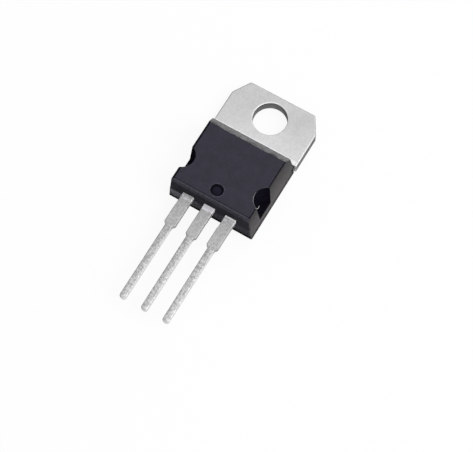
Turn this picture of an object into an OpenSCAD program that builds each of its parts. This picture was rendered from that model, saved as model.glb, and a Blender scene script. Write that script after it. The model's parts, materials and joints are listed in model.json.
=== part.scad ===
// Three-lead triac package with an insulated metal tab, lying on its back.
// Millimetres. The origin is the centre of the mounting hole on the back face,
// +Z points out of the front face and +Y towards the tab's top edge.

/* [Heat tab] */
// Width of the tab across its sides
tab_w = 10.3; // [9.9:0.05:10.7]
// Thickness of the tab and of its slug inside the body
tab_t = 1.27; // [1.15:0.01:1.4]
// From the hole's centre up to the tab's top edge
tab_above_hole = 2.8; // [2.6:0.05:3.2]
// Diameter of the mounting hole
hole_d = 3.75; // [3.4:0.05:4.1]
// How far each cut corner reaches in along the top edge
corner_across = 1.2; // [0.6:0.05:1.8]
// How far each cut corner reaches down the side
corner_down = 2; // [1:0.05:2.4]
// From the hole's centre down to the top of the moulded body
hole_to_body = 3.6; // [3.4:0.05:4]
// Strip of narrow tab left showing between the full-width shoulders and the body
shoulder_gap = 0.15; // [0.05:0.01:0.25]

/* [Slug inside the body] */
// Width of the slug at the back face
slug_w = 8.2; // [7.4:0.1:8.6]
// Length of the slug's back face below the body's top
slug_len = 6.4; // [6.2:0.05:6.9]
// How far the locking lip stands out round the slug
lip = 0.35; // [0.15:0.05:0.45]
// Depth of the lip behind the slug's front face
lip_t = 0.55; // [0.35:0.05:0.75]

/* [Moulded body] */
// Thickness from the back face to the front face
body_h = 4.5; // [4.35:0.05:4.7]
// Length from the body's top edge down to the parting line at its lower end
body_len = 8.87; // [8.7:0.01:9.1]
// Width of the front face
face_w = 9.2; // [9:0.05:9.4]
// Width of the back face
back_w = 10.08; // [9.9:0.02:10.3]
// Drop of the top edge from the tab's face to the chamfer
top_draft = 0.31; // [0.1:0.01:0.4]
// Size of the chamfer along the front face's top edge
top_chamfer = 0.89; // [0.5:0.01:1]
// How far the front face stops short of the lower end
end_draft = 0.14; // [0.05:0.01:0.3]
// How far the back face stops short of the lower end
back_draft = 0.05; // [0.02:0.01:0.2]
// Step between the two mould halves at the lower end
mould_step = 0.04; // [0.02:0.01:0.08]
// Depth of the open slot beside the slug, below the body's top
slot_depth = 0.4; // [0.2:0.05:0.6]

/* [Side notches and dimple] */
// Radius of each side notch at the front face
notch_r = 1.43; // [1.2:0.01:1.5]
// Radius of each side notch at its floor
notch_floor_r = 1.08; // [0.9:0.01:1.15]
// Height of the notch's floor above the tab's front face
notch_floor = 0.08; // [0.05:0.01:0.2]
// Distance between the axes of the two notches
notch_pitch = 10.24; // [10.1:0.01:10.5]
// From the body's lower end up to the notches' axis
notch_above_end = 3.03; // [2.9:0.01:3.1]
// Diameter of the ejector pin's dimple
dimple_d = 1.4; // [1:0.05:1.6]
// Depth of the dimple
dimple_depth = 0.25; // [0.1:0.01:0.3]
// From the body's lower end up to the dimple's centre
dimple_above_end = 1.4; // [1.2:0.01:1.6]
// Distance of the dimple's centre from the middle of the face
dimple_aside = 0.15; // [0:0.01:0.3]

/* [Leads] */
// Distance between neighbouring leads
lead_pitch = 2.54; // [2.5:0.01:2.58]
// Thickness of the lead strip
lead_t = 0.6; // [0.5:0.01:0.65]
// Width of each lead next to the body
lead_wide = 1.28; // [1.15:0.01:1.4]
// Width of each lead beyond its step
lead_narrow = 0.78; // [0.65:0.01:0.9]
// From the body's lower end down to the step
lead_step_at = 3.6; // [3.2:0.05:4]
// Length of the slanted step
lead_step_len = 0.2; // [0.1:0.05:0.4]
// From the body's lower end down to the lead tips
lead_out = 12.95; // [12.5:0.05:14]
// Radius of the rounded corners at the tips
tip_r = 0.22; // [0.1:0.01:0.3]

/* [Lead ends inside the body] */
// Width of the anchor head on each outer lead
anchor_w = 1.8; // [1.7:0.05:2]
// Length of the anchor head
anchor_len = 1.25; // [1.1:0.05:1.35]
// From the body's lower end up to the start of the anchor heads
anchor_at = 0.5; // [0.4:0.05:0.6]
// Width of the island that carries the chip
island_w = 6.4; // [5.6:0.1:6.8]
// Length of the island
island_len = 4.9; // [4.4:0.1:5.1]

/* [Chip stack] */
// Thickness of every solder layer and joint
solder_t = 0.06; // [0.04:0.01:0.08]
// Width of the ceramic plate
ceramic_w = 7.2; // [7:0.05:7.4]
// Length of the ceramic plate
ceramic_len = 5.6; // [5.3:0.05:5.7]
// Thickness of the ceramic plate
ceramic_t = 0.8; // [0.7:0.05:0.85]
// Side of the square chip
die_w = 3.6; // [3.2:0.1:4]
// Thickness of the chip
die_t = 0.28; // [0.2:0.01:0.32]
// From the body's top down to the middle of the chip stack
stack_below_top = 3.85; // [3.75:0.05:4]

/* [Clips] */
// Thickness of the main terminal's clip
mt1_clip_t = 0.3; // [0.2:0.01:0.35]
// Thickness of the gate's clip
gate_clip_t = 0.2; // [0.15:0.01:0.25]
// Height that the clips arch over the chip's edge
clip_lift = 0.25; // [0.15:0.05:0.3]
// Length along which the clips rise and fall
clip_run = 0.5; // [0.4:0.05:0.55]
// Width of the main clip where it lands on the chip
mt1_pad_w = 1.8; // [1.4:0.1:2]
// Length of the main clip's landing on the chip
mt1_pad_len = 2; // [1.6:0.1:2.1]
// Width of the gate clip where it lands on the chip
gate_pad_w = 0.6; // [0.5:0.05:0.7]
// Length of the gate clip's landing on the chip
gate_pad_len = 0.6; // [0.5:0.05:0.7]
// Width of the gate clip's foot on its lead
gate_foot_w = 0.9; // [0.7:0.05:1]
// Margin from a landing to the edge of what carries it
clip_margin = 0.3; // [0.25:0.05:0.35]
// Margin by which a small solder joint stops short of its clip
joint_inset = 0.05; // [0.02:0.01:0.08]

/* [Hidden] */
$fn = 64;

tin = [0.74, 0.74, 0.75];
epoxy = [0.22, 0.21, 0.25];
solder = [0.62, 0.62, 0.64];
copper = [0.78, 0.48, 0.33];

// Heights of the stack, from the back face up
lead_z = tab_t + solder_t + ceramic_t + solder_t;
lead_top = lead_z + lead_t;
die_z = lead_top + solder_t;
die_top = die_z + die_t;
pad_z = die_top + solder_t;
foot_z = lead_top + solder_t;

// Places along Y
body_top = -hole_to_body;
body_end = body_top - body_len;
stack_y = body_top - stack_below_top;
step_y = body_end - lead_step_at;
tip_y = body_end - lead_out;
anchor_low = body_end + anchor_at;
anchor_top = anchor_low + anchor_len;
foot_low = anchor_low + clip_margin;
foot_top = anchor_top - clip_margin;

// Where the clips land on the chip: low left corners
mt1_pad_at = [clip_margin - die_w / 2, stack_y + die_w / 2 - clip_margin - mt1_pad_len];
gate_pad_at = [die_w / 2 - clip_margin - gate_pad_w, stack_y - die_w / 2 + clip_margin];
mt1_foot_w = anchor_w - 2 * clip_margin;
cut = 1; // how far a cutting solid runs past the face that it opens

// A box from two opposite corners
module block(low, high) translate(low) cube(high - low);

// A flat plate centred on x = 0 and the middle of the chip stack
module stack_plate(w, len, z, t) {
    block([-w / 2, stack_y - len / 2, z], [w / 2, stack_y + len / 2, z + t]);
}

module heat_tab() {
    shoulder_y = body_top + shoulder_gap;
    slug_end = body_top - slug_len;
    half = tab_w / 2;
    color(tin) {
        difference() {
            linear_extrude(tab_t) polygon([
                [-half, shoulder_y], [half, shoulder_y],
                [half, tab_above_hole - corner_down], [half - corner_across, tab_above_hole],
                [corner_across - half, tab_above_hole], [-half, tab_above_hole - corner_down]]);
            translate([0, 0, -cut]) cylinder(h = tab_t + 2 * cut, d = hole_d);
        }
        block([-slug_w / 2, slug_end, 0], [slug_w / 2, shoulder_y, tab_t]);
        block([-slug_w / 2 - lip, slug_end - lip, tab_t - lip_t], [slug_w / 2 + lip, shoulder_y, tab_t]);
    }
}

// The block that the mould makes: its side view and its end view, one cut by the other
module body_block() {
    chamfer_z = body_h - top_chamfer;
    chamfer_y = body_top - top_draft;
    intersection() {
        rotate([90, 0, 90]) translate([0, 0, -back_w]) linear_extrude(2 * back_w) polygon([
            [body_top - slot_depth, 0], [body_top - slot_depth, tab_t], [body_top, tab_t],
            [chamfer_y, chamfer_z], [chamfer_y - top_chamfer, body_h],
            [body_end + end_draft, body_h], [body_end + mould_step, lead_z],
            [body_end, lead_z], [body_end + back_draft, 0]]);
        rotate([90, 0, 0]) translate([0, 0, -body_top - cut]) linear_extrude(body_len + 2 * cut) polygon([
            [-back_w / 2, 0], [back_w / 2, 0], [face_w / 2, body_h], [-face_w / 2, body_h]]);
    }
}

// One tapered side notch, open at the front face
module side_notch(x) {
    floor_z = tab_t + notch_floor;
    depth = body_h - floor_z;
    grow = (notch_r - notch_floor_r) * cut / depth;
    translate([x, body_end + notch_above_end, floor_z])
        cylinder(h = depth + cut, r1 = notch_floor_r, r2 = notch_r + grow);
}

module moulded_body() {
    color(epoxy) difference() {
        body_block();
        for (side = [-1, 1]) side_notch(side * notch_pitch / 2);
        translate([dimple_aside, body_end + dimple_above_end, body_h - dimple_depth])
            cylinder(h = dimple_depth + cut, d = dimple_d);
        heat_tab();
        mt1_lead();
        mt2_lead();
        gate_lead();
        insulator_solder();
        ceramic_insulator();
        island_solder();
        die_solder();
        silicon_die();
        mt1_die_joint();
        mt1_clip();
        mt1_lead_joint();
        gate_die_joint();
        gate_clip();
        gate_lead_joint();
    }
}

// Outline of one lead below y = start: wide, a slanted step, narrow, and a rounded tip
module lead_outline(start) {
    wide = lead_wide / 2;
    narrow = lead_narrow / 2;
    polygon([[-wide, start], [wide, start], [wide, step_y], [narrow, step_y - lead_step_len],
        [narrow, tip_y + tip_r], [-narrow, tip_y + tip_r], [-narrow, step_y - lead_step_len],
        [-wide, step_y]]);
    translate([tip_r - narrow, tip_y]) square([lead_narrow - 2 * tip_r, 2 * tip_r]);
    for (side = [-1, 1]) translate([side * (narrow - tip_r), tip_y + tip_r]) circle(tip_r);
}

// An outer lead, held in the moulding by the wide anchor head at its inner end
module outer_lead(x) {
    color(tin) translate([x, 0, 0]) {
        translate([0, 0, lead_z]) linear_extrude(lead_t) lead_outline(anchor_top - anchor_len / 2);
        block([-anchor_w / 2, anchor_low, lead_z], [anchor_w / 2, anchor_top, lead_top]);
    }
}

module mt1_lead() outer_lead(-lead_pitch);

module gate_lead() outer_lead(lead_pitch);

module mt2_lead() {
    color(tin) {
        translate([0, 0, lead_z]) linear_extrude(lead_t) lead_outline(stack_y);
        stack_plate(island_w, island_len, lead_z, lead_t);
    }
}

module insulator_solder() color(solder) stack_plate(ceramic_w, ceramic_len, tab_t, solder_t);

module ceramic_insulator() color("white") stack_plate(ceramic_w, ceramic_len, tab_t + solder_t, ceramic_t);

module island_solder() color(solder) stack_plate(island_w, island_len, lead_z - solder_t, solder_t);

module die_solder() color(solder) stack_plate(die_w, die_w, lead_top, solder_t);

module silicon_die() color("dimgray") stack_plate(die_w, die_w, die_z, die_t);

// A formed strip from a lead's anchor head up over the chip's edge and down to its pad.
// Its plan outline and its side view cut each other.
module clip(foot_x, foot_w, pad, pad_w, pad_len, t) {
    arch_z = pad_z + clip_lift;
    left = foot_x - foot_w / 2;
    right = foot_x + foot_w / 2;
    pad_end = pad[1] + pad_len;
    intersection() {
        translate([0, 0, foot_z - cut]) linear_extrude(arch_z + t - foot_z + 2 * cut) polygon([
            [left, foot_low], [right, foot_low], [right, foot_top], [pad[0] + pad_w, pad[1]],
            [pad[0] + pad_w, pad_end], [pad[0], pad_end], pad, [left, foot_top]]);
        rotate([90, 0, 90]) translate([0, 0, -tab_w / 2]) linear_extrude(tab_w) polygon([
            [foot_low - cut, foot_z], [foot_top, foot_z], [foot_top + clip_run, arch_z],
            [pad[1] - clip_run, arch_z], [pad[1], pad_z], [pad_end + cut, pad_z],
            [pad_end + cut, pad_z + t], [pad[1], pad_z + t], [pad[1] - clip_run, arch_z + t],
            [foot_top + clip_run, arch_z + t], [foot_top, foot_z + t], [foot_low - cut, foot_z + t]]);
    }
}

// A solder joint that stops short of the edges of the landing above it
module joint(low, w, len, z) {
    block([low[0] + joint_inset, low[1] + joint_inset, z],
        [low[0] + w - joint_inset, low[1] + len - joint_inset, z + solder_t]);
}

// The joint under a clip's foot, on the lead at x
module foot_joint(x, w) joint([x - w / 2, foot_low], w, foot_top - foot_low, lead_top);

module mt1_clip() color(copper)
    clip(-lead_pitch, mt1_foot_w, mt1_pad_at, mt1_pad_w, mt1_pad_len, mt1_clip_t);

module gate_clip() color(copper)
    clip(lead_pitch, gate_foot_w, gate_pad_at, gate_pad_w, gate_pad_len, gate_clip_t);

module mt1_die_joint() color(solder) joint(mt1_pad_at, mt1_pad_w, mt1_pad_len, die_top);

module gate_die_joint() color(solder) joint(gate_pad_at, gate_pad_w, gate_pad_len, die_top);

module mt1_lead_joint() color(solder) foot_joint(-lead_pitch, mt1_foot_w);

module gate_lead_joint() color(solder) foot_joint(lead_pitch, gate_foot_w);

heat_tab();
moulded_body();
mt1_lead();
mt2_lead();
gate_lead();
insulator_solder();
ceramic_insulator();
island_solder();
die_solder();
silicon_die();
mt1_die_joint();
mt1_clip();
mt1_lead_joint();
gate_die_joint();
gate_clip();
gate_lead_joint();
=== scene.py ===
# %% [markdown]
# # A triac, from a plain solid to a finished part
#
# The triac is a small power switch: a tinned copper tab that bolts to a heatsink, a block of moulded epoxy
# round the chip, and three tinned leads. The solids come from the CAD model as a fixed frame, in metres.
# Each visible piece is built here again with what the solids leave out: rolled and rounded edges, a fin at
# the parting line, trim marks on the leads, and grain. The frame says where everything goes.

# %% Load the frame
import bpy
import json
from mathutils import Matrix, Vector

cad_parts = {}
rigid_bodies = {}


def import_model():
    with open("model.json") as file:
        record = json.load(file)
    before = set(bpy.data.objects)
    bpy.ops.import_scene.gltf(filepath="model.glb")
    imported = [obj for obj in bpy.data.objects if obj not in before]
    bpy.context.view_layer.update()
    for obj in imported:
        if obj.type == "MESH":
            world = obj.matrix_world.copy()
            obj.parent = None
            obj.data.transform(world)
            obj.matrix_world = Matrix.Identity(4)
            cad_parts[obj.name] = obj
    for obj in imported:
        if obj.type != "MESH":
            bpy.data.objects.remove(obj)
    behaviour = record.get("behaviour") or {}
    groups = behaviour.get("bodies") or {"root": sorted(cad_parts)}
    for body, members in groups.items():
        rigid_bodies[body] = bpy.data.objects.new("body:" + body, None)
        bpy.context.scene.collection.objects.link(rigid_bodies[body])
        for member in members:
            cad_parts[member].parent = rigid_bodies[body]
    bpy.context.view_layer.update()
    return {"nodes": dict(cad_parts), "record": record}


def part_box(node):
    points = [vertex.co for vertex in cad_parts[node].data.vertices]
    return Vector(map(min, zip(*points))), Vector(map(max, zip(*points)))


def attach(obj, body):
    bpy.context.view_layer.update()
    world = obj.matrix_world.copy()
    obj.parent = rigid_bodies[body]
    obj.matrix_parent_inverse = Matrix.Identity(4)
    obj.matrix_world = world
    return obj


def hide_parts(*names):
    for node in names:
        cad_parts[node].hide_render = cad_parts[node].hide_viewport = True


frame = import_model()

# %% Modules and the unit
import json
import math

import bmesh
import bpy
from mathutils import Matrix, Vector

MM = 0.001
print("one millimetre is", MM, "of Blender's metres")

# %% [markdown]
# ## Sizes
#
# Every size is in millimetres, because that is how such a package is drawn. What the solids already say is
# read from their boxes and from the record, so that the dressed pieces follow the frame.

# %% Read the sizes from the frame
def box_mm(node):
    """The two corners of a CAD node in millimetres."""
    return [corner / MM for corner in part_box(node)]


tab_high = box_mm("heat_tab")[1]
body_low, body_high = box_mm("moulded_body")
island_low, island_high = box_mm("mt2_lead")
lead_boxes = {name: box_mm(name) for name in ("mt1_lead", "mt2_lead", "gate_lead")}
hole_mount = next(m for m in frame["record"]["mounts"] if m["name"] == "mounting_hole")

tab_half = tab_high.x
tab_top = tab_high.y
tab_t = tab_high.z
body_top = body_high.y
body_end = body_low.y
body_h = body_high.z
back_half = body_high.x
hole_r = hole_mount["dims"]["r_mm"]
lead_z = island_low.z
lead_t = island_high.z - island_low.z
tip_y = island_low.y
step_y = body_end - 3.6  # where the leads narrow
dimple_r, dimple_depth, dimple_at = 0.7, 0.25, (0.09, body_end + 1.41)  # the mark of the ejector pin
print(f"tab {2 * tab_half:.2f} x {tab_t:.2f}, body {body_top - body_end:.2f} x {body_h:.2f}, "
      f"lead {lead_t:.2f} thick")

# %% [markdown]
# ## The camera
#
# The part lies on its back on a white table and is seen from the lead end, steeply from above. A long lens
# keeps the edges nearly parallel. The angles turn the camera round the part as a tripod head would.

# %% Place the camera
camera_azimuth = math.radians(31.07)
camera_elevation = math.radians(68.19)
camera_roll = math.radians(-0.51)
camera_distance = 167.17
camera_aim = Vector((2.891, -11.922, 0.0))
camera_lens = 121.97

back = Vector((math.sin(camera_azimuth) * math.cos(camera_elevation),
               -math.cos(camera_azimuth) * math.cos(camera_elevation),
               math.sin(camera_elevation)))
camera = bpy.data.objects.new("camera", bpy.data.cameras.new("camera"))
bpy.context.scene.collection.objects.link(camera)
camera.data.lens = camera_lens
camera.data.sensor_width = 36.0
camera.data.sensor_fit = "HORIZONTAL"
camera.data.clip_start = 0.005
camera.data.clip_end = 5.0
turn = (-back).to_track_quat("-Z", "Y").to_matrix() @ Matrix.Rotation(camera_roll, 3, "Z")
camera.matrix_world = Matrix.Translation((camera_aim + back * camera_distance) * MM) @ turn.to_4x4()
bpy.context.scene.camera = camera
print("camera at", [round(v / MM, 1) for v in camera.location], "mm")

# %% [markdown]
# ## Shader arithmetic
#
# A finish is mostly sums: a mask times a strength, one grain plus another. Writing them as Python sums keeps
# them readable, so a small class wraps a socket and adds a Math node for each operator. Every other node
# comes from its one method, which takes the node's type, its settings, and what its sockets get.

# %% The wire class
class Wire:
    """One socket of a shader tree that takes part in sums as a number does."""

    def __init__(self, tree, socket=None):
        self.tree = tree
        self.socket = socket

    def node(self, kind, settings=None, inputs=None, output=0):
        """Adds a node to this tree, sets it, feeds its sockets, and gives back one of its outputs."""
        made = self.tree.nodes.new(kind)
        for name, value in (settings or {}).items():
            setattr(made, name, value)
        for name, value in (inputs or {}).items():
            if isinstance(value, Wire):
                self.tree.links.new(value.socket, made.inputs[name])
            else:
                made.inputs[name].default_value = value
        return Wire(self.tree, made.outputs[output])

    def math(self, operation, first, second=0.0):
        return self.node("ShaderNodeMath", {"operation": operation}, {0: first, 1: second})

    def __add__(self, other):
        return self.math("ADD", self, other)

    def __radd__(self, other):
        return self.math("ADD", other, self)

    def __sub__(self, other):
        return self.math("SUBTRACT", self, other)

    def __rsub__(self, other):
        return self.math("SUBTRACT", other, self)

    def __mul__(self, other):
        return self.math("MULTIPLY", self, other)

    def __rmul__(self, other):
        return self.math("MULTIPLY", other, self)

    def step(self, low, high):
        """0 below low and 1 above high, with a soft rise between."""
        return self.node("ShaderNodeMapRange", {"interpolation_type": "SMOOTHSTEP"},
                         {"Value": self, "From Min": low, "From Max": high})

    def blend(self, first, second):
        """A colour that goes from the first to the second as this value goes from 0 to 1."""
        return self.node("ShaderNodeMix", {"data_type": "RGBA"}, {0: self, 6: first, 7: second}, output=2)


print("operators ready")

# %% [markdown]
# A finish could also come from an image wrapped round the part, but procedural noise needs no seams, is sharp
# at any distance, and can be laid out in millimetres in the part's own frame, so that grain has its real size
# and stays on the part when the view changes.

# %% Pattern helpers
def grey(level, tint=(1.0, 1.0, 1.0)):
    """A colour with four channels from one brightness and a faint tint."""
    return (level * tint[0], level * tint[1], level * tint[2], 1.0)


def start_material(name):
    """A new material: its tree as a wire, and its Principled shader."""
    material = bpy.data.materials.new(name)
    material.use_nodes = True
    tree = material.node_tree
    return material, Wire(tree), tree.nodes["Principled BSDF"]


def place_mm(wire, stretch=(1.0, 1.0, 1.0), shift=(0.0, 0.0, 0.0)):
    """Object coordinates in millimetres, drawn out along each axis by stretch."""
    where = wire.node("ShaderNodeTexCoord", output="Object")
    scaled = wire.node("ShaderNodeVectorMath", {"operation": "MULTIPLY"},
                       {0: where, 1: tuple(1 / (MM * s) for s in stretch)})
    return wire.node("ShaderNodeVectorMath", {"operation": "ADD"}, {0: scaled, 1: shift})


def noise(wire, place, per_mm, detail=2.0, rough=0.5):
    """Soft noise, about 0.5 on average, with per_mm blotches to the millimetre."""
    return wire.node("ShaderNodeTexNoise", inputs={"Vector": place, "Scale": per_mm, "Detail": detail,
                                                   "Roughness": rough})


print("pattern helpers ready")

# %% [markdown]
# Where a finish changes from place to place, a mask picks the place, by its coordinates or by the way that
# the surface is turned there. Neither depends on the camera.

# %% Helpers for places
def axis_mm(wire, axis):
    """One coordinate of the surface point, in millimetres."""
    return wire.node("ShaderNodeSeparateXYZ", inputs={0: place_mm(wire)}, output=axis)


def from_axis(wire, centre=(0.0, 0.0)):
    """The distance in millimetres from the upright line through a point of the front."""
    across = place_mm(wire, (1.0, 1.0, 1000.0), (-centre[0], -centre[1], 0.0))
    return wire.node("ShaderNodeVectorMath", {"operation": "LENGTH"}, {0: across}, output=1)


def turned(wire, axis):
    """How far the surface is turned towards one axis of the part, from -1 to 1."""
    direction = wire.node("ShaderNodeTexCoord", output="Normal")
    return wire.node("ShaderNodeSeparateXYZ", inputs={0: direction}, output=axis)


print("place helpers ready")

# %% Helpers for the shader
def connect(wire, shader, **feeds):
    """Feeds the sockets of the Principled shader that vary over the surface."""
    for name, value in feeds.items():
        wire.tree.links.new(value.socket, shader.inputs[name.replace("_", " ")])


def relief(wire, height, depth_mm):
    """A Bump node whose full height is depth_mm."""
    return wire.node("ShaderNodeBump", inputs={"Height": height, "Distance": depth_mm * MM, "Strength": 1.0})


print("shader helpers ready")

# %% [markdown]
# ## Tin plating
#
# Tab and leads are copper under a few micrometres of matte tin. Matte tin is a metal that scatters: it is
# pale grey, faintly cloudy, and its fine crystals make it almost satin. The tab's finish starts with what
# lies all over it, from broad clouds to crystals and the lines that the strip was drawn along.

# %% Patterns of the tin on the tab
tab_tin, wire, shader = start_material("tab_tin")
flat_place = place_mm(wire)
cloud = noise(wire, flat_place, 0.22, 3.0, 0.6).step(0.3, 0.7)
mottle = noise(wire, flat_place, 1.5, 4.0, 0.65).step(0.3, 0.7)
dapple = noise(wire, flat_place, 3.5, 2.0, 0.6).step(0.36, 0.64)
crystal = noise(wire, flat_place, 8.0, 4.0, 0.7)
drawn = noise(wire, place_mm(wire, (0.12, 3.0, 1.0)), 1.0, 2.0)
print("patterns of tab_tin:", len(wire.tree.nodes), "nodes")

# %% [markdown]
# Then come the places that the punch and the mould have marked, and those where light and shade are painted,
# each as a mask that is 1 at its place and 0 elsewhere. The punch shears the edges of the strip, so all its
# walls are duller than its faces, and they are also painted darker as shade; the hole's right wall gets the
# most painted shade. One side of the hole's rim gets a painted highlight. The far side of the edge that the
# punch rolled in, and the shoulders, which face the body, get painted shade. Beside the moulding, the mould's
# clamp has burnished the tab to a thin line, which is painted bright as a highlight.

# %% Marks on the tab
tab_x, tab_y = axis_mm(wire, "X"), axis_mm(wire, "Y")
flat = turned(wire, "Z")
# The walls are duller where sheared, and their darkness is also painted shade.
sheared = (1 - (flat * flat).step(0.06, 0.36)) * tab_y.step(body_top + 0.16, body_top + 0.24)
clamped = (1 - tab_y.step(body_top + 0.68, body_top + 0.76)) * (1 - tab_x.step(4.8, 5.0))
# A thin burnished line beside the moulding, painted bright as a highlight.
burnished = flat.step(0.5, 0.9) * clamped
from_hole = from_axis(wire)
# Painted shade on the hole's right wall.
right_wall_shade = (1 - from_hole.step(hole_r + 0.2, hole_r + 0.5)) * tab_x.step(0.3, 1.3)
# A painted highlight on one side of the hole's rim.
hole_rim_highlight = (1 - from_hole.step(hole_r + 0.12, hole_r + 0.20)) * (tab_y - tab_x).step(-1.0, 1.5)
# Painted shade on the far side of the rolled edge.
far_roll_shade = (turned(wire, "Y") - turned(wire, "X") * 0.6).step(0.12, 0.45) * (1 - hole_rim_highlight)
# Painted shade on the shoulders, which face the body.
shoulders = (0 - turned(wire, "Y")).step(0.5, 0.9)
print("patterns and marks of tab_tin:", len(wire.tree.nodes), "nodes")

# %% Colours of the tab
# Painted light makes the tab lighter towards the body; it is also darker towards the right.
light_towards_body = 1 - tab_y.step(body_top - 1.0, tab_top)
darker_rightwards = tab_x.step(1.0, 3.5)
tone = cloud * 0.2 + mottle * 0.1 + dapple * 0.15 + drawn * 0.1 + crystal.step(0.3, 0.7) * 0.25
tone = tone + light_towards_body * 0.35 - darker_rightwards * 0.12
plated = tone.blend(grey(0.52, (1.0, 1.0, 1.01)), grey(0.80, (1.0, 1.0, 1.005)))
# The painted highlights go towards white; the painted shade of the rolled edge and the shoulders goes to
# grey.
polished = (burnished * 0.75 + hole_rim_highlight * 0.6) * (0.7 + mottle * 0.3)
faces = far_roll_shade.blend(polished.blend(plated, grey(1.0)), grey(0.34))
faces = shoulders.blend(faces, grey(0.42))
# The walls' grey is partly their sheared finish and partly painted shade, darkest on the hole's right wall.
walls = (right_wall_shade * 0.8).blend(mottle.blend(grey(0.12), grey(0.22)), grey(0.02))
connect(wire, shader,
        Base_Color=sheared.blend(faces, walls),
        Roughness=crystal * 0.12 + mottle * 0.06 + sheared * 0.15 + 0.40,
        Normal=relief(wire, crystal + drawn * 0.4, 0.004))
shader.inputs["Metallic"].default_value = 1.0
print("tab_tin:", len(wire.tree.nodes), "nodes")

# %% [markdown]
# The leads were dipped in molten tin, which froze blotchy, in drops that are longer than they are wide.

# %% Patterns of the tin on the leads
lead_tin, wire, shader = start_material("lead_tin")
blotch = noise(wire, place_mm(wire, (0.7, 1.4, 0.7)), 2.2, 4.0, 0.65).step(0.32, 0.68)
dapple = noise(wire, place_mm(wire), 3.6, 2.0, 0.6).step(0.36, 0.64)
crystal = noise(wire, place_mm(wire), 12.0, 3.0, 0.65)
swell = noise(wire, place_mm(wire), 3.5, 2.0, 0.5)
print("patterns of lead_tin:", len(wire.tree.nodes), "nodes")

# %% [markdown]
# At their roots the dip stopped short: a film of resin has bled out of the mould there, so the root looks
# like pale paint rather than metal. A glint is painted on its right edge, and the seam at the moulding is
# painted as the palest line of all, a highlight that grows towards the right-hand lead. The tin is thickest
# and brightest towards the tips, and it hides the sheared walls there.

# %% Marks on the leads
across, lead_y = axis_mm(wire, "X"), axis_mm(wire, "Y")
flat = turned(wire, "Z")
root = (lead_y + noise(wire, place_mm(wire), 1.6, 2.0) * 0.5).step(body_end - 0.40, body_end - 0.15)
below_step = 1 - lead_y.step(step_y - 0.7, step_y - 0.3)
tipwards = 1 - lead_y.step(tip_y, step_y)
sheared = 1 - (flat * flat - (1 - below_step) * 0.4).step(0.04, 0.36)
# Painted highlights: a glint on the right edge of the root, and the pale line at the seam.
glint = root * turned(wire, "X").step(0.1, 0.4) * flat.step(0.0, 0.1)
seam = lead_y.step(body_end - 0.15, body_end - 0.08) * (across * 0.22 + 0.5)
print("patterns and marks of lead_tin:", len(wire.tree.nodes), "nodes")

# %% Colours of the leads
mottled = blotch * 0.4 + dapple * 0.5 + crystal.step(0.3, 0.7) * 0.1 - 0.5
dipped = (mottled * (below_step * 0.5 + 0.5) + tipwards * 0.22 + 0.5).blend(grey(0.31), grey(0.72))
edges = below_step.blend(grey(0.38), grey(0.76))
middle_lead = 1 - (across * across).step(0.8, 2.0)
film = (dapple * 0.6 + middle_lead * 0.8).blend(grey(0.50), grey(0.85, (1.0, 0.97, 1.05)))
connect(wire, shader,
        Base_Color=(glint + seam).blend(root.blend(sheared.blend(dipped, edges), film), grey(1.0)),
        Roughness=crystal * 0.14 + blotch * 0.06 + 0.42,
        Metallic=(1 - root * 0.6) * (1 - seam),
        Normal=relief(wire, swell + crystal * 0.12, 0.012))
print("lead_tin:", len(wire.tree.nodes), "nodes")

# %% [markdown]
# ## Moulded epoxy
#
# The moulding compound is a charcoal epoxy filled with silica. The mould was spark eroded, so its skin has a
# fine grain and a bluish tint, and a bluish highlight is painted where its lower edge turns to the light. The
# walls rubbed along the mould as the part was pushed out, which laid the pale filler bare. One function makes
# all the finishes of the body, because they differ only in strength and hue. The places that are worn, and
# those where light and shade are painted, come first, again as masks.

# %% Places on the moulding
def upright(wire):
    """The walls, whichever way they face."""
    flat = turned(wire, "Z")
    return 1 - (flat * flat).step(0.1, 0.8)


def frontwards(wire):
    """The front face and the edges round it."""
    return turned(wire, "Z").step(0.3, 0.5)


def chamfer(wire):
    """The chamfer at the tab's end."""
    return turned(wire, "Y").step(0.15, 0.6) * frontwards(wire)


def low_edge(wire):
    """The rounded edge between the front face and the wall at the leads, where a highlight is painted."""
    return (0 - turned(wire, "Y")).step(0.18, 0.65) * axis_mm(wire, "Z").step(body_h - 0.85, body_h - 0.15)


def ring_round_mark(wire):
    """The ring round the ejector pin's mark, where a highlight is painted."""
    return (1 - from_axis(wire, dimple_at).step(dimple_r + 0.04, dimple_r + 0.20)) * frontwards(wire)


print("worn places ready")

# %% [markdown]
# Shade is painted at the foot of the walls, where they stand on the table, and in the corners under the tab's
# shoulders, where only a slit is open. The wall at the leads is paler below the parting line, most on the
# left, with painted light from the table.

# %% Shaded and pale places on the moulding
def foot(wire):
    """The foot of the walls and the corners under the tab's shoulders, where shade is painted."""
    height = axis_mm(wire, "Z")
    below_tab = 1 - height.step(tab_t - 0.05, tab_t + 0.05)
    tucked = axis_mm(wire, "Y").step(body_top - 0.50, body_top - 0.42) * below_tab
    return upright(wire) * (1 - height.step(0.25, 0.95) * (1 - tucked)) * (0.9 + tucked * 0.1)


def parting(wire):
    """The line where the two halves of the mould met, at the back of the leads."""
    height = axis_mm(wire, "Z")
    return height.step(lead_z - 0.10, lead_z - 0.02) * (1 - height.step(lead_z + 0.01, lead_z + 0.03))


def below_parting(wire):
    """All that lies below the parting line, fading towards the right."""
    fading = 1 - axis_mm(wire, "X").step(-4.5, 0.5) * 0.8
    return (1 - axis_mm(wire, "Z").step(lead_z - 0.02, lead_z + 0.02)) * fading


print("shaded and pale places ready")
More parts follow.
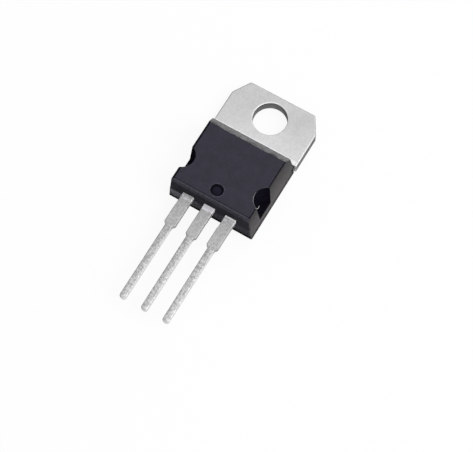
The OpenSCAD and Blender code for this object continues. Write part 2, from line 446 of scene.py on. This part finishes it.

# %% [markdown]
# The finish lays these places over one another from the bottom up: the skin, the highlights painted on its
# edges, its lower half paled by painted light, the bared walls with painted light towards their foot, the
# scuffed chamfer with its painted light, the painted shade at the foot, and last the specks and the parting
# line with its painted highlight.

# %% Epoxy of the body
def epoxy(name, shine, skin_tone, walls=0.0, lower=0.0, hue=(1.05, 0.92, 1.65)):
    """A finish of the moulding: how much it shines, how light its skin is, how bare the filler lies on its
    walls, how much painted light pales it below the parting line and along that line, and the hue of its
    skin."""
    material, wire, shader = start_material(name)
    place = place_mm(wire)
    grain = noise(wire, place, 11.0, 4.0, 0.7)
    cloud = noise(wire, place, 0.9, 4.0, 0.6).step(0.3, 0.7)
    rub = noise(wire, place, 4.5, 3.0, 0.65).step(0.34, 0.66)
    speck = noise(wire, place, 22.0, 1.0).step(0.68, 0.76)
    height = axis_mm(wire, "Z")
    rubs = 1.0 if walls else 0.0
    outer = 1.0 if walls or lower else 0.0
    wall = upright(wire) * rubs
    dark, light = grey(0.012 * skin_tone, hue), grey(0.026 * skin_tone, hue)
    skin = (cloud * 0.5 + rub * 0.25 + grain * 0.25).blend(dark, light)
    # Painted highlights, mottled by the rub: along the rounded lower edge and on the ring round the ejector's
    # mark.
    edge_highlight = low_edge(wire) * outer * (0.3 + rub * 0.5) + ring_round_mark(wire) * rubs * rub * 0.35
    skin = edge_highlight.blend(skin, grey(0.10, (1.0, 0.95, 1.25)))
    # Painted light from the table pales the wall below the parting line.
    skin = (below_parting(wire) * (0.15 + rub * 0.85) * lower).blend(skin, grey(0.20, (1.0, 0.98, 1.05)))
    # The walls show bared filler, painted paler towards their foot with light from the table
    # and darker up towards the front face.
    bared = cloud.blend(grey(0.060 * walls, (1.12, 0.92, 1.06)), grey(0.056 * walls, (0.99, 1.01, 0.97)))
    rubbed = ((1 - height * (1 / body_h)) * 0.7 + rub * 0.3).blend(grey(0.003), bared)
    # On the chamfer the pale filler shows nearly everywhere, apart from patches along its front edge,
    # and its paleness is partly painted light.
    spared = height.step(body_h - 0.45, body_h - 0.05) * (1 - cloud) * 0.6
    scuffs = rub * 0.4 + grain.step(0.3, 0.7) * 0.4 + cloud * 0.25 + 0.05 - spared
    scuffed = scuffs.blend(grey(0.015), grey(0.23, (1.0, 1.0, 1.03)))
    tone = (chamfer(wire) * rubs).blend(wall.blend(skin, rubbed), scuffed)
    # Painted shade at the foot of the walls and in the corners under the tab's shoulders.
    tone = (foot(wire) * outer).blend(tone, grey(0.001))
    # Last come the specks, and the parting line painted pale, partly as thin flash and partly as the
    # highlight of its ledge.
    connect(wire, shader,
            Base_Color=(speck * 0.3 + parting(wire) * lower * 0.5).blend(tone, grey(0.10)),
            Roughness=grain * 0.14 + cloud * 0.05 + wall * (rub - 0.5) * 0.2 + 0.48,
            Normal=relief(wire, grain + speck * 0.3 + wall * rub * 2.0, 0.008))
    shader.inputs["Specular IOR Level"].default_value = shine
    return material


body_epoxy = epoxy("body_epoxy", shine=0.33, skin_tone=1.0, walls=1.0)
print("body_epoxy:", len(body_epoxy.node_tree.nodes), "nodes")

# %% [markdown]
# The long side walls rubbed hardest, so more of their filler is bare and they shine less. The wall at the
# leads and the floor of the ejector's mark get a skin without shine, as painted shade, and the mark's floor a
# darker one. The notches, the mark's wall and the rims that turn away from the light get the darkest skin, as
# painted shade.

# %% Epoxy of the walls and of the recesses
side_epoxy = epoxy("side_epoxy", shine=0.12, skin_tone=1.0, walls=1.75)
end_epoxy = epoxy("end_epoxy", shine=0.0, skin_tone=1.8, lower=1.1, hue=(1.0, 0.97, 1.2))
recess_epoxy = epoxy("recess_epoxy", shine=0.0, skin_tone=0.8)
shaded_epoxy = epoxy("shaded_epoxy", shine=0.0, skin_tone=0.3)
print("dull finishes:", side_epoxy.name, end_epoxy.name, recess_epoxy.name, shaded_epoxy.name)

# %% [markdown]
# ## What is sealed inside
#
# The chip stack is never seen from outside, but each of its solids still gets the finish that it has: satin
# solder, fired ceramic, polished silicon and bare copper. One function makes them all, because they differ
# only in colour, shine and grain.

# %% Finishes of the chip stack
def inner_finish(name, low, high, rough, metal, per_mm, depth_mm):
    """A finish for a sealed piece: two tones, a shine and a grain."""
    material, wire, shader = start_material(name)
    place = place_mm(wire)
    tone = noise(wire, place, per_mm, 3.0)
    fine = noise(wire, place, per_mm * 6.0, 2.0)
    connect(wire, shader,
            Base_Color=tone.step(0.35, 0.65).blend(low, high),
            Roughness=fine * 0.15 + rough,
            Normal=relief(wire, fine, depth_mm))
    shader.inputs["Metallic"].default_value = metal
    return material


inner_materials = {
    "soft_solder": inner_finish("satin_solder", grey(0.36), grey(0.46),
                                rough=0.32, metal=1.0, per_mm=2.0, depth_mm=0.004),
    "white_ceramic": inner_finish("fired_ceramic", grey(0.74, (1, 1, 0.97)), grey(0.80, (1, 1, 0.97)),
                                  rough=0.5, metal=0.0, per_mm=3.0, depth_mm=0.003),
    "silicon": inner_finish("polished_silicon", grey(0.12, (1, 1, 1.1)), grey(0.15, (1, 1, 1.1)),
                            rough=0.1, metal=0.6, per_mm=1.0, depth_mm=0.0005),
    "bare_copper": inner_finish("bare_copper", (0.66, 0.30, 0.17, 1), (0.78, 0.38, 0.22, 1),
                                rough=0.28, metal=1.0, per_mm=1.5, depth_mm=0.003),
}
visible_nodes = {"heat_tab", "moulded_body", *lead_boxes}
for part in frame["record"]["subparts"]:
    if part["node"] not in visible_nodes:
        solid = frame["nodes"][part["node"]]
        solid.data.materials.clear()
        solid.data.materials.append(inner_materials[part["material_slot"]])
print("sealed pieces finished:", len(frame["nodes"]) - len(visible_nodes))

# %% [markdown]
# ## Building by stacked outlines
#
# Tab, leads and body are all flat outlines that change a little with height: an edge rolls in, a wall has
# draft. A Bevel modifier could round the edges, but here hardly two of them are equally round. So each piece
# is built as a stack of closed outlines with equally many points, joined by strips of quads and closed at
# both ends. The edges then get exactly the roundness they need, each on its own.

# %% Outline helpers
def soft_corners(points, inset=0.0):
    """A closed outline from (x, y, softness, steps) corners, moved inwards by inset and then rounded."""
    count = len(points)
    spots = [Vector(p[:2]) for p in points]
    moved = []
    for i, spot in enumerate(spots):
        before = (spot - spots[i - 1]).normalized()
        after = (spots[(i + 1) % count] - spot).normalized()
        n0, n1 = Vector((-before.y, before.x)), Vector((-after.y, after.x))
        moved.append(spot + (n0 + n1) * (inset / (1.0 + n0.dot(n1))))
    outline = []
    for i, spot in enumerate(moved):
        soft, steps = points[i][2:]
        if not steps:
            outline.append(spot)
            continue
        to_last, to_next = moved[i - 1] - spot, moved[(i + 1) % count] - spot
        start = spot + to_last.normalized() * min(soft, to_last.length * 0.495)
        end = spot + to_next.normalized() * min(soft, to_next.length * 0.495)
        for k in range(steps + 1):
            t = k / steps
            outline.append(start * (1 - t) ** 2 + spot * (2 * t * (1 - t)) + end * t ** 2)
    return outline


print("a square with soft corners has",
      len(soft_corners([(x, y, 0.1, 4) for x, y in ((-1, -1), (1, -1), (1, 1), (-1, 1))])), "points")

# %% Helpers for circles and rolled edges
def circle(centre, radius, steps):
    """A closed circle of points."""
    return [Vector((centre[0] + radius * math.cos(2 * math.pi * k / steps),
                    centre[1] + radius * math.sin(2 * math.pi * k / steps))) for k in range(steps)]


margin = 0.03  # a narrow flat border beside a rolled edge, which keeps the face there evenly shaded


def rolled(low, high, back_roll, front_roll, steps=5):
    """(inset, height) pairs from low to high for an edge that is rounded at its back and at its front."""
    turn = [math.pi / 2 * k / steps for k in range(steps + 1)]
    back_part = [(back_roll * (1 - math.sin(a)), low + back_roll * (1 - math.cos(a))) for a in turn]
    front_part = [(front_roll * (1 - math.cos(a)), high - front_roll * (1 - math.sin(a))) for a in turn]
    return [(back_roll + margin, low)] + back_part + front_part + [(front_roll + margin, high)]


print("a rolled edge has", len(rolled(0, 1, 0.1, 0.1)), "levels")

# %% Helpers for rings of points
def add_ring(mesh, outline, height):
    """Adds a closed outline at a height in millimetres, or at the height that a function gives each point."""
    heights = [height(p) if callable(height) else height for p in outline]
    return [mesh.verts.new((p.x * MM, p.y * MM, z * MM)) for p, z in zip(outline, heights)]


def join_rings(mesh, lower, upper):
    """Joins two rings of equally many vertices by a strip of quads."""
    count = len(lower)
    for i in range(count):
        j = (i + 1) % count
        mesh.faces.new((lower[i], lower[j], upper[j], upper[i]))


def stack(mesh, levels):
    """Joins a list of (outline, height) levels, and gives back the first and the last ring."""
    rings = [add_ring(mesh, outline, height) for outline, height in levels]
    for lower, upper in zip(rings, rings[1:]):
        join_rings(mesh, lower, upper)
    return rings[0], rings[-1]


def close(mesh, *rings):
    """Fills the flat area between an outer ring and the rings of its holes."""
    edges = [mesh.edges.get((ring[i - 1], ring[i])) for ring in rings for i in range(len(ring))]
    if len(rings) == 1:
        mesh.faces.new(rings[0])
    else:
        bmesh.ops.triangle_fill(mesh, edges=edges, use_beauty=True)


print("ring helpers ready")

# %% [markdown]
# A finished mesh becomes an object with its material. Its shading is smooth, but flat faces stay flat beside
# their rolled edges: the Weighted Normal modifier lets the large faces decide.

# %% Helpers for pieces
def new_piece(name, mesh, material):
    """Turns a finished bmesh into an object with outward faces and one material. Where a corner has no
    softness its points fall together, so they are joined into one."""
    bmesh.ops.remove_doubles(mesh, verts=mesh.verts, dist=0.0001 * MM)
    bmesh.ops.recalc_face_normals(mesh, faces=mesh.faces)
    data = bpy.data.meshes.new(name)
    mesh.to_mesh(data)
    mesh.free()
    data.materials.append(material)
    piece = bpy.data.objects.new(name, data)
    bpy.context.scene.collection.objects.link(piece)
    return piece


def shade(piece, angle=32.0):
    """Smooth shading that keeps flat faces flat and stays crisp at sharp edges."""
    piece.data.shade_smooth()
    piece.data.set_sharp_from_angle(angle=math.radians(angle))
    keep = piece.modifiers.new("flat faces rule", "WEIGHTED_NORMAL")
    keep.keep_sharp = True
    keep.weight = 100


def is_closed(piece):
    """Whether every edge of a piece's mesh has two faces."""
    mesh = bmesh.new()
    mesh.from_mesh(piece.data)
    closed = all(edge.is_manifold for edge in mesh.edges)
    mesh.free()
    return closed


print("piece helpers ready")

# %% [markdown]
# ## The tab
#
# The tab is stamped from copper strip. The punch rolls the strip's edge in on the front and leaves it nearly
# sharp on the back, and that roll shows as a darker line along the rim, with painted shade on its far side.
# Its lower part is a narrower slug with a locking lip, which the epoxy holds.

# %% Outline of the tab
corner_across, corner_down = 1.2, 2.0
slug_half, slug_end = 4.1, body_top - 6.4
lip, lip_t = 0.35, 0.55
shoulder_y = body_top + 0.15
roll_front, roll_back = 0.13, 0.03
hole_roll, hole_sides = 0.05, 96


def tab_outline(inset, grown):
    """The tab seen from the front, with the slug grown by its lip where grown is 1."""
    wide, end = slug_half + grown * lip, slug_end - grown * lip
    return soft_corners([
        (tab_half, shoulder_y, 0.08, 3), (tab_half, tab_top - corner_down, 0.12, 4),
        (tab_half - corner_across, tab_top, 0.14, 4), (corner_across - tab_half, tab_top, 0.14, 4),
        (-tab_half, tab_top - corner_down, 0.12, 4), (-tab_half, shoulder_y, 0.08, 3),
        (-wide, shoulder_y, 0.02, 2), (-wide, end, 0.05, 2),
        (wide, end, 0.05, 2), (wide, shoulder_y, 0.02, 2),
    ], inset)


print("the tab's outline has", len(tab_outline(0.0, 0)), "points")

# %% Build the tab
mesh = bmesh.new()
edge = rolled(0.0, tab_t, roll_back, roll_front, 6)
lip_z = tab_t - lip_t
levels = [(tab_outline(inset, 0), z) for inset, z in edge if z < lip_z]
levels += [(tab_outline(0.0, 0), lip_z), (tab_outline(0.0, 1), lip_z)]
levels += [(tab_outline(inset, 1), z) for inset, z in edge if z > lip_z]
outer_back, outer_front = stack(mesh, levels)
hole_edge = rolled(0.0, tab_t, roll_back, hole_roll, 4)
hole_levels = [(circle((0, 0), hole_r + inset, hole_sides), z) for inset, z in hole_edge]
hole_back, hole_front = stack(mesh, hole_levels)
close(mesh, outer_back, hole_back)
close(mesh, outer_front, hole_front)
tab_plate = new_piece("tab_plate", mesh, tab_tin)
print("tab_plate:", len(tab_plate.data.vertices), "points, closed:", is_closed(tab_plate))

# %% [markdown]
# ## The leads
#
# The leads are punched from the same kind of strip, cut free from their tie bar after moulding, and dipped in
# tin. Tin softens their edges and rounds the tips. Where the tie bar was cut off, each lead keeps a small jog
# of its own, so every lead takes its own trim marks.

# %% Outline of a lead
wide_half, narrow_half, tip_half = 0.64, 0.40, 0.37
step_run, tip_soft = 0.22, 0.34
trim_low, trim_high = body_end - 1.62, body_end - 1.45  # where the tie bar's trim marks begin


def lead_outline(inset, centre, trims, inner):
    """A lead seen from the front. trims widens (or narrows) it on the left and on the right of the tie bar,
    and inner lists the corners of its hidden end, from the right side round to the left."""
    (left_cut, left_step), (right_cut, right_step) = trims
    right = [
        (tip_half, tip_y, tip_soft, 8), (narrow_half, step_y - step_run + right_step, 0.08, 3),
        (wide_half - right_cut, step_y + right_step, 0.05, 3), (wide_half - right_cut, trim_low, 0.05, 2),
        (wide_half, trim_high, 0.05, 2)]
    left = [
        (-wide_half, trim_high, 0.05, 2), (-wide_half + left_cut, trim_low, 0.05, 2),
        (-wide_half + left_cut, step_y + left_step, 0.05, 3),
        (-narrow_half, step_y - step_run + left_step, 0.08, 3), (-tip_half, tip_y, tip_soft, 8)]
    corners = [(x + centre, y, soft, steps) for x, y, soft, steps in right]
    corners += inner + [(x + centre, y, soft, steps) for x, y, soft, steps in left]
    return soft_corners(corners, inset)


print("leads narrow from", 2 * wide_half, "to", 2 * narrow_half, "mm")

# %% [markdown]
# Inside the moulding, each outer lead ends in a wide head that keeps it from being pulled out, and the middle
# one in the island that carries the chip.

# %% The hidden ends of the leads
anchor_half, anchor_low, anchor_high = 0.9, body_end + 0.5, body_end + 1.75
island_half, island_bottom, island_top = island_high.x, body_top - 6.3, island_high.y


def hidden_end(centre, half, low, high):
    """The wide head of a lead inside the moulding, from its right side round to its left."""
    corners = [(wide_half, low), (half, low), (half, high), (-half, high), (-half, low), (-wide_half, low)]
    return [(centre + side, y, 0.03, 2) for side, y in corners]


print("heads are", 2 * anchor_half, "mm wide, the island", round(2 * island_half, 2))

# %% [markdown]
# Molten tin draws itself up on a narrow strip, so the narrow part of a lead is crowned and the wide part is
# flat. The front's height therefore depends on the place along the lead as well as on the inset.

# %% The crown of the tin
crown, crown_reach, crown_start = 0.018, 0.30, 0.5
lead_roll = 0.07


def crowned(inset, z):
    """The height of a lead's front at an inset: the tin stands up round on the narrow part only."""
    fall = crown * (max(0.0, crown_reach - max(inset, lead_roll)) / (crown_reach - lead_roll)) ** 2

    def height(p):
        narrow = min(1.0, max(0.0, (step_y - p.y) / crown_start))
        return z - fall * narrow

    return height


print("the tin is crowned by", crown, "mm")

# %% Build the leads
lead_pitch, lead_lean = 2.54, 0.03
# name: centre, (cut, step shift) on the left, the same on the right
lead_marks = {
    "mt1_lead": (-lead_pitch - lead_lean, ((-0.02, -0.04), (0.0, 0.0))),
    "mt2_lead": (-lead_lean, ((0.0, -0.04), (0.03, -0.05))),
    "gate_lead": (lead_pitch - lead_lean, ((-0.05, -0.05), (0.02, 0.0))),
}
lead_pieces = {}
for name, (centre, trims) in lead_marks.items():
    if name == "mt2_lead":
        inner = hidden_end(centre, island_half, island_bottom, island_top)
    else:
        inner = hidden_end(centre, anchor_half, anchor_low, anchor_high)
    mesh = bmesh.new()
    edge = rolled(lead_z, lead_z + lead_t, lead_roll, lead_roll)
    edge += [(inset, lead_z + lead_t) for inset in (0.14, 0.19, 0.25, crown_reach)]
    levels = [(lead_outline(inset, centre, trims, inner), crowned(inset, z) if z > lead_z + lead_t / 2 else z)
              for inset, z in edge]
    for ring in stack(mesh, levels):
        close(mesh, ring)
    lead_pieces[name] = new_piece(name + "_strip", mesh, lead_tin)
    print(name, len(lead_pieces[name].data.vertices), "points, closed:", is_closed(lead_pieces[name]))

# %% [markdown]
# ## The moulded body
#
# The moulding has to come out of its mould, so its walls lean in towards the front. The front face has a
# chamfer at the tab's end, two tapered side notches where the mould clamps the tab, and the round mark of an
# ejector pin. Where the halves of the mould met, a thin fin stands out from the wall at the leads. The left
# edge of the front face is rounder than the right one.

# %% Side profiles of the body
face_half, left_extra = 4.6, 0.055
chamfer_z, chamfer_y = body_h - 0.89, body_top - 0.31
chamfer_end = chamfer_y - 0.89
end_draft, mould_step = 0.14, 0.04
fin, fin_t = 0.02, 0.03
fin_low = lead_z - fin_t
right_roll, left_roll, low_roll, top_roll, notch_roll = 0.17, 0.30, 0.35, 0.12, 0.07


def along(height, table):
    """Reads a value at a height from a list of (height, value) pairs, straight between them."""
    for (z0, v0), (z1, v1) in zip(table, table[1:]):
        if height <= z1:
            return v0 + (v1 - v0) * (height - z0) / (z1 - z0)
    return table[-1][1]


def face_roll(height, radius):
    """How far a rounded front edge of a radius has moved in at a height."""
    rise = min(radius, max(0.0, height - (body_h - radius)))
    return radius - math.sqrt(radius ** 2 - rise ** 2)


def wall_x(height, side):
    """How far the body reaches to one side at a height."""
    edge, radius = (face_half, right_roll) if side > 0 else (face_half + left_extra, left_roll)
    return along(height, [(0.0, back_half), (body_h, edge)]) - face_roll(height, radius)


print("walls lean in by", round(back_half - face_half, 2), "mm on each side")

# %% [markdown]
# The body is stacked from outlines as well. The notches could be cut out afterwards by booleans, but those
# leave sharp rims. As arcs in the outlines they get rolled rims and their taper at once. Below their floor
# the arcs are straight lines, so that every outline has the same number of points.

# %% Outline of the notches
notch_r, notch_floor_r, notch_x, notch_y = 1.43, 1.08, 5.12, body_end + 3.03
notch_floor = tab_t + 0.08
notch_steps = 22


def notch_points(height, side, bowed):
    """The notch on one side, from its lower end to its upper end. Where bowed is 0 it is a straight line."""
    wall = wall_x(height, side)
    share = (height - notch_floor) / (body_h - notch_floor)
    radius = notch_floor_r + (notch_r - notch_floor_r) * max(0.0, share) + face_roll(height, notch_roll)
    half_turn = math.acos((notch_x - wall) / radius)
    half_chord = radius * math.sin(half_turn)
    points = []
    for k in range(notch_steps + 1):
        angle = half_turn * (2 * k / notch_steps - 1)
        if bowed:
            spot = (notch_x - radius * math.cos(angle), notch_y + radius * math.sin(angle))
        else:
            spot = (wall, notch_y + half_chord * (2 * k / notch_steps - 1))
        end = k in (0, notch_steps)
        points.append((spot[0], spot[1], 0.035 if end else 0.0, 2 if end else 0))
    return [(side * x, y, soft, steps) for x, y, soft, steps in points]


print("each notch has", notch_steps + 1, "points")

# %% Outline of the body at a height
corner_soft, top_soft = 0.14, 0.10
under_step = 0.03


def body_outline(height, bowed, under, inset=0.0):
    """The body seen from the front at one height, from the lower right corner round. Where under is 1, the
    outline lies below the tab's front and stands back a little from the shoulders."""
    right_x, left_x = wall_x(height, 1), -wall_x(height, -1)
    low = along(height, [(0.0, body_end), (fin_low - 0.02, body_end), (fin_low, body_end - fin),
                         (lead_z, body_end - fin), (lead_z + 0.001, body_end + mould_step),
                         (body_h, body_end + end_draft)])
    low += face_roll(height, low_roll)
    high = along(height, [(0.0, body_top), (tab_t, body_top), (chamfer_z, chamfer_y), (body_h, chamfer_end)])
    high -= under_step * under + face_roll(height, top_roll)
    softness = top_soft * (1 - under)
    right = [(right_x, low, corner_soft, 4), *notch_points(height, 1, bowed), (right_x, high, softness, 4)]
    left = [(left_x, low, corner_soft, 4), *notch_points(height, -1, bowed), (left_x, high, softness, 4)]
    left.reverse()
    return soft_corners(right + left, inset)


print("each outline has", len(body_outline(body_h, 1, 0)), "points")

# %% Build the body
back_roll = 0.04
back_turn = (0, 0.4, 0.8, 1.2, math.pi / 2)
back_edge = [(back_roll * (1 - math.sin(a)), back_roll * (1 - math.cos(a))) for a in back_turn]
levels = [(body_outline(0.0, 0, 1, back_roll + margin), 0.0)]
levels += [(body_outline(z, 0, 1, inset), z) for inset, z in back_edge]
levels += [(body_outline(z, 0, under), z) for z, under in ((tab_t - 0.04, 1), (tab_t - 0.01, 0))]
levels += [(body_outline(notch_floor, bowed, 0), notch_floor) for bowed in (0, 1)]
heights = [1.7, fin_low - 0.02, fin_low, lead_z, lead_z + 0.001, 2.6, 3.1]
heights += [chamfer_z - 0.03, chamfer_z + 0.03, 3.9]
heights += [body_h - low_roll * (1 - math.sin(k * math.pi / 24)) for k in range(13)]
levels += [(body_outline(z, 1, 0), z) for z in heights] + [(body_outline(body_h, 1, 0, margin), body_h)]
mesh = bmesh.new()
back_ring, front_ring = stack(mesh, levels)

dimple_sides = 48
# (growth of the radius, depth) down the dished mark of the ejector pin
dimple_levels = [(margin, 0.0), (0.0, 0.0), (-0.02, 0.01), (-0.03, 0.03), (-0.035, 0.07), (-0.04, 0.16),
                 (-0.06, 0.18), (-0.12, 0.20), (-0.24, 0.227), (-0.40, 0.244), (-0.60, dimple_depth)]
rim, pit = stack(mesh, [(circle(dimple_at, dimple_r + grow, dimple_sides), body_h - down)
                        for grow, down in dimple_levels])
close(mesh, back_ring)
close(mesh, front_ring, rim)
close(mesh, pit)
body_moulding = new_piece("body_moulding", mesh, body_epoxy)
print("body_moulding:", len(body_moulding.data.vertices), "points, closed:", is_closed(body_moulding))

# %% [markdown]
# The epoxy flows round the slug and the leads, so their shapes are cut out of it exactly. The boolean
# modifier does that with the finished pieces themselves, and its result becomes the body's own mesh. Only the
# slug needs a cutter of its own: it lies flush with the body's back, and a cutter that ends right in a face
# leaves scraps of that face. A copy of the tab with a lower back cuts clean through. The modifier's Self
# Intersection keeps the result closed where the body steps back beside the slug.

# %% Cut the body round the metal
def apply_modifiers(piece):
    """Makes what the modifiers show the piece's own mesh."""
    seen = piece.evaluated_get(bpy.context.evaluated_depsgraph_get())
    result = bpy.data.meshes.new_from_object(seen)
    piece.modifiers.clear()
    piece.data = result


cut_past = 0.2
tab_cutter = tab_plate.copy()
tab_cutter.data = tab_plate.data.copy()
bpy.context.scene.collection.objects.link(tab_cutter)
for point in tab_cutter.data.vertices:
    if point.co.z < 0.001 * MM:
        point.co.z -= cut_past * MM

for cutter in (tab_cutter, *lead_pieces.values()):
    cut = body_moulding.modifiers.new("cut by " + cutter.name, "BOOLEAN")
    cut.operation = "DIFFERENCE"
    cut.solver = "EXACT"
    cut.use_self = True
    cut.object = cutter
apply_modifiers(body_moulding)
bpy.data.objects.remove(tab_cutter)
print("after the cuts:", len(body_moulding.data.vertices), "points, closed:", is_closed(body_moulding))

# %% [markdown]
# Which finish a face of the body takes follows from where it lies and which way it looks. The notches, the
# rims, the lower left corner and the wall of the ejector's mark take the darkest finish, as painted shade.
# The right and the left rims are rounded differently, so the strip of painted shade along them starts at
# different slopes.

# %% Give the body's faces their finishes
def finish_at(spot, normal):
    """The name of the finish at a spot of the body, in millimetres, whose face looks along normal."""
    at_dimple = (spot.xy - Vector(dimple_at)).length < dimple_r and spot.z < body_h - 0.02
    from_notch = math.hypot(abs(spot.x) - notch_x, spot.y - notch_y)
    in_notch = from_notch < notch_r and notch_floor - 0.01 < spot.z < body_h - 0.05
    rim_start = 0.75 if normal.x > 0 else 0.25
    on_rim = spot.z > body_h - 0.22 and rim_start < normal.z < 0.985 and abs(normal.y) < 0.3
    on_corner = normal.x < -0.2 and spot.y < body_end + 0.2
    # Painted shade: the notches, the rims, the lower left corner and the wall of the ejector's mark.
    if in_notch or on_rim or on_corner or at_dimple and normal.z < 0.9:
        return "shaded_epoxy"
    if at_dimple:
        return "recess_epoxy"
    if normal.y < -0.9:
        return "end_epoxy"
    return "side_epoxy" if abs(normal.x) > 0.9 else "body_epoxy"


for finish in (end_epoxy, recess_epoxy, shaded_epoxy, side_epoxy):
    body_moulding.data.materials.append(finish)
for face in body_moulding.data.polygons:
    face.material_index = body_moulding.data.materials.find(finish_at(face.center / MM, face.normal))
print("finishes on the body:", ", ".join(body_moulding.data.materials.keys()))

# %% [markdown]
# A hair of flash, the resin that seeps between the two halves of the mould, still hangs on the rim of one
# notch. It is a thin tube along a curve that follows the rim and then swings out over the notch. Along the
# rim, its pale resin is also a painted highlight of the rim's edge, and its thickness there follows that
# highlight. A curve object with a bevel could make it too, but rings of points let its thickness change along
# the way. Thin resin lets light through, so it is much paler than the body.

# %% Resin of the flash
flash_resin, wire, shader = start_material("flash_resin")
streak = noise(wire, place_mm(wire), 6.0, 3.0)
connect(wire, shader,
        Base_Color=streak.blend(grey(0.30), grey(0.60)),
        Roughness=streak * 0.2 + 0.35,
        Normal=relief(wire, streak, 0.01))
print("flash_resin:", len(wire.tree.nodes), "nodes")


# %% Helper for tubes
def tube(mesh, path, radii, sides=8):
    """Adds a closed tube along a path, in millimetres, with a radius at each of its points."""
    rings = []
    for i, spot in enumerate(path):
        along_path = (path[min(i + 1, len(path) - 1)] - path[max(i - 1, 0)]).normalized()
        across = along_path.cross(Vector((0, 0, 1))).normalized()
        upward = across.cross(along_path)
        angles = [2 * math.pi * k / sides for k in range(sides)]
        rings.append([mesh.verts.new((spot + (across * math.cos(a) + upward * math.sin(a)) * radii[i]) * MM)
                      for a in angles])
    for lower, upper in zip(rings, rings[1:]):
        join_rings(mesh, lower, upper)
    close(mesh, rings[0])
    close(mesh, rings[-1])


print("tube helper ready")

# %% Build the hair of flash
hair_z, hair_steps = body_h - 0.015, 14
hair_from, hair_to = math.radians(172), math.radians(249)
reach = notch_r + 0.05
rim_path = []
for k in range(hair_steps + 1):
    angle = hair_from + (hair_to - hair_from) * k / hair_steps
    rim_path.append(Vector((notch_x + reach * math.cos(angle), notch_y + reach * math.sin(angle), hair_z)))
corner = rim_path[-1]
for k in range(1, hair_steps + 1):
    t = k / hair_steps
    bow = math.sin(math.pi * t)
    rim_path.append(corner + Vector((0.09 * t + 0.07 * bow, 0.44 * t - 0.05 * bow, -0.05 * bow)))
# The hair is thick where it starts and where it swings out, and no part of it rises over the front face.
thickness = [along(k, [(0, 0.014), (3, 0.022), (6, 0.022), (9, 0.009), (13, 0.009), (16, 0.024), (28, 0.026)])
             for k in range(len(rim_path))]
for spot, thick in zip(rim_path, thickness):
    spot.z = min(spot.z, body_h - thick)
mesh = bmesh.new()
tube(mesh, rim_path, thickness)
notch_flash = new_piece("notch_flash", mesh, flash_resin)
print("notch_flash:", len(notch_flash.data.vertices), "points, closed:", is_closed(notch_flash))

# %% [markdown]
# ## Hand the pieces to the frame
#
# Each finished piece stands for its CAD node and rides on the part's one body.

# %% Replace and ride
finished = {"heat_tab": tab_plate, "moulded_body": body_moulding, **lead_pieces}
for node, piece in finished.items():
    shade(piece)
    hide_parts(node)
    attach(piece, "root")
shade(notch_flash)
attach(notch_flash, "root")
print("finished pieces:", ", ".join(sorted(piece.name for piece in finished.values())))

# %% [markdown]
# ## Floor and light
#
# The part lies on a white table in soft studio light. The floor is one large sheet of white paper. Where the
# camera sees it, directly or in a reflection, most of its brightness is its own, so that it stays white while
# the lamps stay low, and the rest is lit, so that it keeps the part's shadow.

# %% The floor
floor_half, floor_z = 900.0, -0.005
mesh = bmesh.new()
corners = [Vector((x * floor_half, y * floor_half)) for x, y in ((-1, -1), (1, -1), (1, 1), (-1, 1))]
mesh.faces.new(add_ring(mesh, corners, floor_z))
floor_paper, wire, shader = start_material("floor_paper")
fibre = noise(wire, place_mm(wire), 0.8, 3.0)
connect(wire, shader, Base_Color=fibre.blend(grey(0.90), grey(0.92)))
shader.inputs["Roughness"].default_value = 0.9
shader.inputs["Specular IOR Level"].default_value = 0.1
glow = wire.node("ShaderNodeEmission", inputs={"Color": grey(1.0), "Strength": 1.0})
seen = wire.node("ShaderNodeLightPath", output="Is Camera Ray")
seen += wire.node("ShaderNodeLightPath", output="Is Glossy Ray")
seen += wire.node("ShaderNodeLightPath", output="Is Transmission Ray")
paper = Wire(wire.tree, shader.outputs[0])
mixed = wire.node("ShaderNodeMixShader", inputs={0: seen * 0.9, 1: paper, 2: glow})
wire.tree.links.new(mixed.socket, wire.tree.nodes["Material Output"].inputs["Surface"])
floor = new_piece("floor", mesh, floor_paper)
print("floor", 2 * floor_half, "mm wide")

# %% [markdown]
# Four square softboxes light the part, all equally large and far away: the strongest on the right, a second
# one high above it, a weak one overhead behind the tab, and a low one behind it. A pale world fills the
# shade.

# %% The lamps
def softbox(name, place, aim, size, power):
    """A square area lamp at a place in millimetres, turned towards another."""
    lamp = bpy.data.lights.new(name, "AREA")
    lamp.shape = "SQUARE"
    lamp.size = size * MM
    lamp.energy = power
    holder = bpy.data.objects.new(name, lamp)
    bpy.context.scene.collection.objects.link(holder)
    place, aim = Vector(place) * MM, Vector(aim) * MM
    facing = (aim - place).to_track_quat("-Z", "Y").to_matrix().to_4x4()
    holder.matrix_world = Matrix.Translation(place) @ facing
    return holder


middle = Vector((0.0, -8.0, 1.0))
lamp_distance = 400.0
lamp_size = 250.0
# name: angle round the part from +X towards +Y, angle above the table, power in watts
lamps = {
    "right": (0, 45, 0.68),
    "overhead_right": (0, 70, 0.36),
    "overhead_rear": (90, 70, 0.14),
    "rear": (90, 22, 0.38),
}
for name, (around, above, power) in lamps.items():
    around, above = math.radians(around), math.radians(above)
    away = Vector((math.cos(above) * math.cos(around), math.cos(above) * math.sin(around), math.sin(above)))
    softbox(name, middle + away * lamp_distance, middle, lamp_size, power)

# %% The world
world = bpy.data.worlds.new("studio")
world.use_nodes = True
bpy.context.scene.world = world
background = world.node_tree.nodes["Background"]
background.inputs["Color"].default_value = grey(1.0)
background.inputs["Strength"].default_value = 0.42
bpy.context.scene.view_settings.view_transform = "Standard"
print("world strength", background.inputs["Strength"].default_value)
